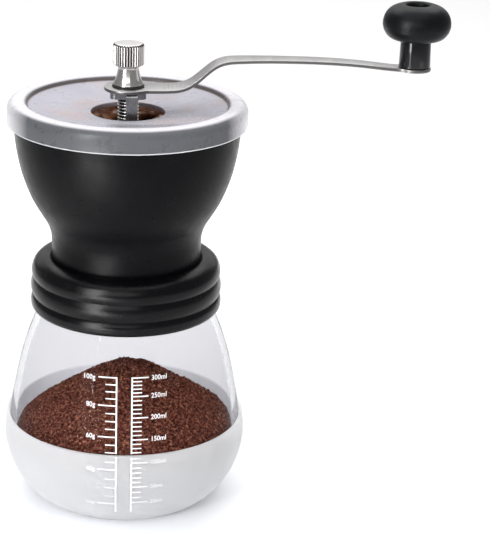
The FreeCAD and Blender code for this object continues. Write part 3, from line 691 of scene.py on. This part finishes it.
# ------------------------------------------------------------------------ lid
def lid():
    loop = rounded([
        (43.2, 150.6, 0.25), (45.0, 150.6, 0.45), (45.0, 155.4)]
        + cubic([(45.0, 155.4), (44.95, 156.0), (44.6, 157.2), (43.6, 158.4), (42.1, 159.0), (40.6, 159.0), (39.3, 158.98)], 26)[1:-1]
        + [(39.2, 158.98, 0.3)]
        + cubic([(39.2, 158.98), (38.35, 158.70), (37.75, 158.0), (37.58, 157.65), (37.42, 157.32), (37.0, 157.17)], 16)[1:-1]
        + [(37.0, 157.17), (25.0, 155.95), (13.8, 154.8, 0.45), (13.8, 153.1, 0.25), (25.0, 154.2), (37.0, 155.5, 0.3),
           (37.4, 153.0, 0.2), (39.2, 152.8, 0.35), (39.2, 157.1, 0.2), (43.2, 157.1, 0.5)], 6)
    o = lathe("frosted_cover", loop, 240, sharp=48)
    wear(o, lid_mat)
    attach(o, "lid")
    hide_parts("hopper_lid")


lid()

# ----------------------------------------------------------------------- knob
def knob():
    outer = cubic([(6.45, 183.72), (7.2, 183.92), (9.4, 184.52), (11.15, 185.87), (12.25, 187.7), (12.68, 189.8), (12.48, 191.7),
                   (11.58, 193.9), (9.78, 195.75), (7.5, 196.83), (5.7, 197.22), (4.9, 197.1), (4.25, 196.5)], 90)
    loop = [(4.06, 183.75), (6.2, 183.71)]
    for r, z in outer:
        seam = math.exp(-((z - 189.35) / 0.10) ** 2)
        dip = math.exp(-((z - 189.0) / 0.16) ** 2)
        loop.append((min(r + 0.05 * seam - 0.03 * dip, 12.7), z))
    loop += [(4.2, 196.2), (4.2, 189.6), (4.0, 189.32), (2.6, 189.32), (2.6, 186.15), (4.06, 186.12)]
    o = lathe("knob_cap", loop, 160, at=(106.5, 0.0), sharp=50)
    wear(o, knob_satin)
    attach(o, "knob")
    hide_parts("knob_head")
    loop = rounded([(4.5, 173.78, 0.1), (5.9, 173.78, 0.45), (5.65, 183.63, 0.2), (4.0, 183.63), (4.0, 186.0, 0.3), (2.6, 186.0),
                    (2.6, 174.16), (4.5, 174.16)], 6)
    o = lathe("knob_stem", loop, 128, at=(106.5, 0.0), sharp=50)
    wear(o, knob_gloss)
    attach(o, "knob")
    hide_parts("knob_sleeve")


knob()

# -------------------------------------------------------------------- cap nut
def cap_nut():
    waist = cubic([(5.58, 165.5), (4.95, 166.8), (4.4, 168.8), (4.05, 170.8), (3.97, 171.7), (4.1, 172.2), (4.5, 172.48)], 40)
    loop = [(3.02, 165.08), (5.3, 165.08), (5.48, 165.16), (5.56, 165.32)] + waist
    loop += [(5.0, 172.5), (5.25, 172.58)] + [(5.8, z) for z in np.linspace(173.0, 179.9, 40)]
    loop += [(5.62, 180.2), (5.36, 180.5), (5.1, 180.66), (4.85, 180.74), (4.3, 180.76), (0.0, 180.78), (0.0, 177.2), (3.02, 176.4)]
    n = 34

    def warp(r, z, a):
        if r > 5.2 and z > 172.5:
            f = (a * n / TAU) % 1.0
            w = abs(2 * f - 1)
            depth = 0.42 * min(1.0, max(0.0, (0.78 - w) / 0.62))
            r = r - depth * min(1.0, max(0.0, (r - 5.2) / 0.3))
        return r, z

    o = lathe("knurled_cap", loop, 34 * 12, warp=warp, sharp=40)
    wear(o, chrome)
    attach(o, "nut")
    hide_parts("cap_nut")


cap_nut()

# ---------------------------------------------------------------- burr spring
def spring():
    """Round wire coil, carried with the drive shaft."""
    z0, z1, turns, r, wire, end = 107.65, 117.4, 4.5, 6.2, 0.5, 0.35
    steps, sides = 320, 20
    pitch = (z1 - z0) / turns
    length = turns * math.hypot(TAU * r, pitch)
    s = [end * (1 - math.cos(q)) for q in np.linspace(0.0, math.pi / 2, 6)]
    s = s + list(np.linspace(end, length - end, steps))[1:-1] + [length - q for q in s[::-1]]
    verts, faces = [], []
    for q in s:
        a = TAU * turns * q / length
        near = min(q, length - q, end) / end
        w = max(wire * math.sqrt(max(1 - (1 - near) ** 2, 0.0)), 0.02)
        tilt = math.atan2(pitch, TAU * r)
        side = Vector((math.cos(a), math.sin(a), 0.0))
        rise = Vector((math.sin(a) * math.sin(tilt), -math.cos(a) * math.sin(tilt), math.cos(tilt)))
        c = Vector((r * math.cos(a), r * math.sin(a), z0 + (z1 - z0) * q / length))
        for k in range(sides):
            b = TAU * k / sides
            verts.append(tuple((c + side * (w * math.cos(b)) + rise * (w * math.sin(b))) * MM))
    n = len(s)
    for i in range(n - 1):
        for k in range(sides):
            k2 = (k + 1) % sides
            faces.append((i * sides + k, i * sides + k2, (i + 1) * sides + k2, (i + 1) * sides + k))
    faces.append(tuple(range(sides))[::-1])
    faces.append(tuple((n - 1) * sides + k for k in range(sides)))
    o = finish_mesh("coil_spring", verts, faces, 50)
    bm = bmesh.new()
    bm.from_mesh(o.data)
    bmesh.ops.recalc_face_normals(bm, faces=bm.faces)
    bm.to_mesh(o.data)
    bm.free()
    wear(o, steel)
    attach(o, "drive")
    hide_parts("burr_spring")
    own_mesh(o)


spring()

# -------------------------------------------------------------- printed scale
def scale_print():
    bm = bmesh.new()
    lift = 0.05

    def on(x, z):
        r = print_r(z) + lift
        return Vector((x * MM, -math.sqrt(max(r * r - x * x, 0)) * MM, z * MM))

    def patch(x0, x1, z0, z1, nx, nz):
        vs = [[bm.verts.new(on(x0 + (x1 - x0) * i / nx, z0 + (z1 - z0) * j / nz)) for i in range(nx + 1)] for j in range(nz + 1)]
        for j in range(nz):
            for i in range(nx):
                bm.faces.new((vs[j][i], vs[j][i + 1], vs[j + 1][i + 1], vs[j + 1][i]))

    xl, xr, w = -3.15, 2.6, 0.29
    segs = [(9.3, 34.4), (34.95, 63.4)]
    for x in (xl, xr):
        for z0, z1 in segs:
            patch(x - w, x + w, z0, z1, 2, 60)

    def tick(z, x0, x1, h=0.24):
        if 34.1 < z < 35.3:
            z = 35.3
        patch(x0, x1, z - h, z + h, 8, 2)

    left = [(63.2, "100g"), (53.0, "80g"), (41.3, "60g"), (29.3, "40g"), (13.9, "20g")]
    rightm = [(63.2, "300ml"), (56.5, "250ml"), (48.6, "200ml"), (40.4, "150ml"), (32.1, "100ml"), (22.1, "50ml"), (14.7, "20ml")]
    labels = []
    for i, (z, word) in enumerate(left):
        tick(z, xl - 6.8, xl)
        labels.append((word, z, -1))
        if i + 1 < len(left):
            for k in (1, 2, 3):
                tick(z + (left[i + 1][0] - z) * k / 4, xl - 4.1, xl, 0.22)
    for i, (z, word) in enumerate(rightm):
        tick(z, xr, xr + 6.1)
        labels.append((word, z, +1))
        if i + 1 < len(rightm):
            parts = 5 if i + 1 < len(rightm) - 1 else 3
            for k in range(1, parts):
                tick(z + (rightm[i + 1][0] - z) * k / parts, xr, xr + 3.7, 0.22)
    for word, z, side in labels:
        cu = bpy.data.curves.new("label", "FONT")
        cu.body = word
        cu.size = 2.55
        cu.align_x = "RIGHT" if side < 0 else "LEFT"
        cu.align_y = "CENTER"
        cu.resolution_u = 3
        cu.offset = 0.035
        tmp = bpy.data.objects.new("label", cu)
        me = bpy.data.meshes.new_from_object(tmp)
        b2 = bmesh.new()
        b2.from_mesh(me)
        bmesh.ops.triangulate(b2, faces=b2.faces)
        x0 = xl - 7.9 if side < 0 else xr + 7.1
        table = {}
        for vv in b2.verts:
            table[vv.index] = bm.verts.new(on(x0 + vv.co.x * 0.92, min(z, 62.9) + vv.co.y))
        for f in b2.faces:
            try:
                bm.faces.new([table[q.index] for q in f.verts])
            except ValueError:
                pass
        b2.free()
        bpy.data.objects.remove(tmp)
        bpy.data.curves.remove(cu)
        bpy.data.meshes.remove(me)
    bmesh.ops.recalc_face_normals(bm, faces=bm.faces)
    for f in bm.faces:
        if f.normal.y > 0:
            f.normal_flip()
    me = bpy.data.meshes.new("scale_print")
    bm.to_mesh(me)
    bm.free()
    for q in me.polygons:
        q.use_smooth = True
    o = bpy.data.objects.new("scale_print", me)
    scene.collection.objects.link(o)
    wear(o, ink)
    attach(o, "jar_body")


scale_print()

# ------------------------------------------------------------- ground coffee
def heap():
    rng = np.random.default_rng(7)
    seg, rings = 560, 150
    top_r = 41.6

    def lattice(seed):
        g = np.random.default_rng(seed).random((64, 64, 64))
        def f(x, y, z, s):
            p = np.stack([x / s, y / s, z / s], -1)
            i = np.floor(p).astype(int)
            q = p - i
            q = q * q * (3 - 2 * q)
            v = 0
            for dx in (0, 1):
                for dy in (0, 1):
                    for dz in (0, 1):
                        w = (q[..., 0] if dx else 1 - q[..., 0]) * (q[..., 1] if dy else 1 - q[..., 1]) * (q[..., 2] if dz else 1 - q[..., 2])
                        v = v + w * g[(i[..., 0] + dx) % 64, (i[..., 1] + dy) % 64, (i[..., 2] + dz) % 64]
            return v - 0.5
        return f

    fine, mid = lattice(3), lattice(4)
    rr = np.concatenate([[0.0], np.linspace(0.35, top_r, rings)])
    a = np.arange(seg) * TAU / seg
    R, A = np.meshgrid(rr, a, indexing="ij")
    X, Y = R * np.cos(A), R * np.sin(A)
    R2 = (X - 1.5) ** 2 + Y * Y
    Z = 53.5 - 0.760 * (np.sqrt(R2 + 174.0) - 13.2)
    Z = Z + 1.4 * mid(X, Y, 0 * X + 5, 9.0) * np.clip((top_r - R) / 8, 0, 1) + 0.9 * mid(X, Y, 0 * X + 9, 3.6)
    Z = Z + 0.95 * fine(X, Y, Z, 1.15) + 0.5 * fine(X, Y, Z, 0.6)
    lim = np.interp(Z, in_z, in_r) - 0.25
    s = np.minimum(1.0, lim / np.maximum(R, 1e-6))
    X, Y = X * s, Y * s
    verts = [(0.0, 0.0, float(Z[0].mean()))]
    for i in range(1, rings + 1):
        verts += [tuple(q) for q in np.stack([X[i], Y[i], Z[i]], -1)]
    n_top = rings
    edge_z = Z[-1]
    wall = [27.5, 24.0, 20.0, 16.0, 12.0, 8.5, 6.0]
    for wz in wall:
        r = float(np.interp(wz, in_z, in_r)) - 0.3
        verts += [(r * math.cos(q), r * math.sin(q), wz) for q in a]
    verts.append((0.0, 0.0, 5.0))
    faces = []
    first = lambda i: 1 + (i - 1) * seg
    for k in range(seg):
        faces.append((0, first(1) + k, first(1) + (k + 1) % seg))
    total = rings + len(wall)
    for i in range(1, total):
        p0, p1 = first(i), first(i + 1)
        for k in range(seg):
            k2 = (k + 1) % seg
            faces.append((p0 + k, p1 + k, p1 + k2, p0 + k2))
    last, p0 = len(verts) - 1, first(total)
    for k in range(seg):
        faces.append((p0 + k, last, p0 + (k + 1) % seg))
    # loose grains lying on the heap
    base = np.array([(1, 0, 0), (-1, 0, 0), (0, 1, 0), (0, -1, 0), (0, 0, 1), (0, 0, -1)], float)
    tri = [(0, 2, 4), (2, 1, 4), (1, 3, 4), (3, 0, 4), (2, 0, 5), (1, 2, 5), (3, 1, 5), (0, 3, 5)]
    for _ in range(5200):
        i = int(math.sqrt(rng.random()) * (rings - 3)) + 1
        k = int(rng.integers(seg))
        c = np.array([X[i, k], Y[i, k], Z[i, k]])
        size = 0.22 + 0.42 * rng.random() ** 2
        pts = base * (0.65 + 0.7 * rng.random((6, 1))) * size
        q = rng.normal(size=(3, 3))
        q, _r = np.linalg.qr(q)
        if np.linalg.det(q) < 0:
            q[:, 0] *= -1
        pts = pts @ q.T + c
        if np.hypot(pts[:, 0], pts[:, 1]).max() > np.interp(c[2], in_z, in_r) - 0.15:
            continue
        n0 = len(verts)
        verts += [tuple(w) for w in pts]
        faces += [(n0 + f[0], n0 + f[1], n0 + f[2]) for f in tri]
    verts = [(x * MM, y * MM, z * MM) for x, y, z in verts]
    o = finish_mesh("ground_coffee", verts, faces, 50)
    wear(o, grounds_mat)
    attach(o, "jar_body")


heap()

# ---------------------------------------------------------------------- beans
def beans():
    rng = np.random.default_rng(11)
    nu, nv = 28, 18
    pts, tris = [], []
    for j in range(nv + 1):
        th = math.pi * j / nv
        for i in range(nu):
            ph = TAU * i / nu
            x, y, z = math.cos(th), math.sin(th) * math.cos(ph), math.sin(th) * math.sin(ph)
            px, py = 4.9 * x, 3.5 * y * (1 - 0.10 * x * x)
            pz = 2.6 * z if z > 0 else 1.35 * z
            if z < 0:
                g = math.exp(-((py - 0.35 * math.sin(px * 0.7)) / 0.42) ** 2)
                pz += 0.75 * g * min(1.0, (1 - abs(x)) * 5)
            pts.append((px, py, pz))
    for j in range(nv):
        for i in range(nu):
            i2 = (i + 1) % nu
            tris.append((j * nu + i, (j + 1) * nu + i, (j + 1) * nu + i2, j * nu + i2))
    bean = np.array(pts)
    verts, faces, placed = [], [], []
    tries = 0
    hop_z = [109.5, 118.1, 122.4, 126.85, 131.35, 135.4, 139.4, 143.6, 149.0, 154.0]
    hop_r = [26.8, 31.5, 33.8, 35.6, 37.2, 38.3, 39.1, 39.7, 40.1, 40.3]
    while tries < 12000 and len(placed) < 290:
        tries += 1
        layer = 2 if len(placed) < 16 and tries < 3000 else 0 if len(placed) < 136 and tries < 7000 else 1
        rad = 13.9 + (33.5 - 13.9) * math.sqrt(rng.random())
        if layer == 2:
            rad = 13.4 + 3.4 * rng.random()
        an = rng.random() * TAU
        z = (141.5, 148.4, 149.7)[layer] + (1.4, 1.4, 0.7)[layer] * rng.random() + (0.5, 0.5, 0.0)[layer] * math.sin(3 * an)
        c = np.array([rad * math.cos(an), rad * math.sin(an), z])
        if any(np.linalg.norm(c - q) < (6.3, 5.9, 5.6)[layer] for q in placed):
            continue
        e = rng.normal(size=3) * (0.5, 0.5, 0.0)
        flip = math.pi if rng.random() < 0.55 else 0.0
        M = (Matrix.Rotation(rng.random() * TAU, 3, "Z") @ Matrix.Rotation(e[0] + flip, 3, "X") @ Matrix.Rotation(e[1] * 0.7, 3, "Y"))
        s = 0.88 + 0.2 * rng.random()
        w = bean * s @ np.array(M).T + c
        rw = np.hypot(w[:, 0], w[:, 1])
        if (rw.min() < 9.3) or (rw > np.interp(w[:, 2], hop_z, hop_r) - 0.3).any() or w[:, 2].max() > 152.7:
            continue
        placed.append(c)
        n0 = len(verts)
        verts += [tuple(q * MM) for q in w]
        faces += [tuple(n0 + q for q in f) for f in tris]
    o = finish_mesh("coffee_beans", verts, faces, 0)
    wear(o, bean_mat)
    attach(o, "head")
    print("beans", len(placed))


beans()

# ----------------------------------------------------------------------- done
bpy.context.view_layer.update()
